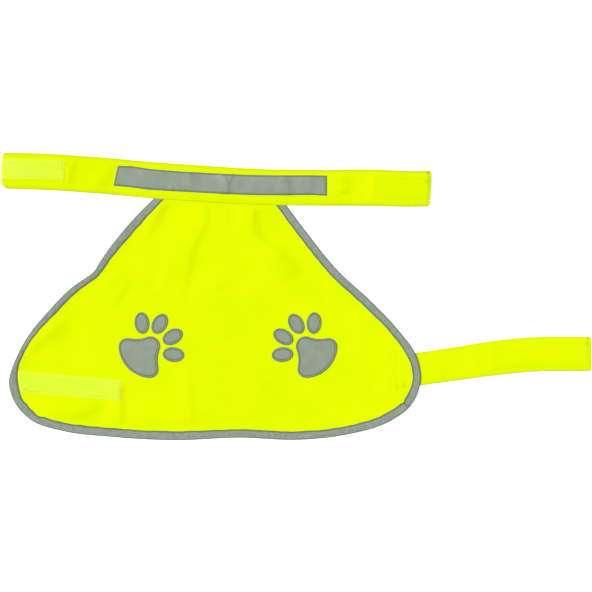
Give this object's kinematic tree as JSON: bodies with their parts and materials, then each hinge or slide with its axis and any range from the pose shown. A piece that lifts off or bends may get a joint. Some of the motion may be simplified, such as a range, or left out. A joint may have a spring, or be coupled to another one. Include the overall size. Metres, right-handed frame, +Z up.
{
  "type": "reflective dog vest",
  "caption": "Fluorescent yellow dog vest laid flat: a grey-bound bell-shaped back with paw badges, and neck and belly straps with hook-and-loop pads.",
  "frame": {"origin": "on the surface that the vest lies on, under the middle of its bounding box", "axes": "+X along the neck strap, towards the belly strap's free end; +Y from the hem to the neck; +Z up, out of the vest's outside face"},
  "size_m": [0.6026, 0.2932, 0.0062],
  "materials": {
    "fluorescent_knit": "matte fluorescent warp-knit polyester",
    "grey_binding": "satin grey reflective-faced polyester tape",
    "reflective_tape": "satin grey glass-bead reflective tape on cloth",
    "loop_tape": "fuzzy light yellow loop tape",
    "hook_tape": "light yellow hook tape"
  },
  "bodies": {
    "root": {"back_panel": "fluorescent_knit", "edge_binding": "grey_binding", "neck_strap": "fluorescent_knit", "neck_reflective_strip": "reflective_tape", "neck_loop_pad": "loop_tape", "neck_hook_pad": "hook_tape", "belly_strap": "fluorescent_knit", "belly_hook_pad": "hook_tape", "belly_loop_pad": "loop_tape", "paw_left_heel": "reflective_tape", "paw_left_toe_1": "reflective_tape", "paw_left_toe_2": "reflective_tape", "paw_left_toe_3": "reflective_tape", "paw_left_toe_4": "reflective_tape", "paw_right_heel": "reflective_tape", "paw_right_toe_1": "reflective_tape", "paw_right_toe_2": "reflective_tape", "paw_right_toe_3": "reflective_tape", "paw_right_toe_4": "reflective_tape"}
  },
  "joints": []
}
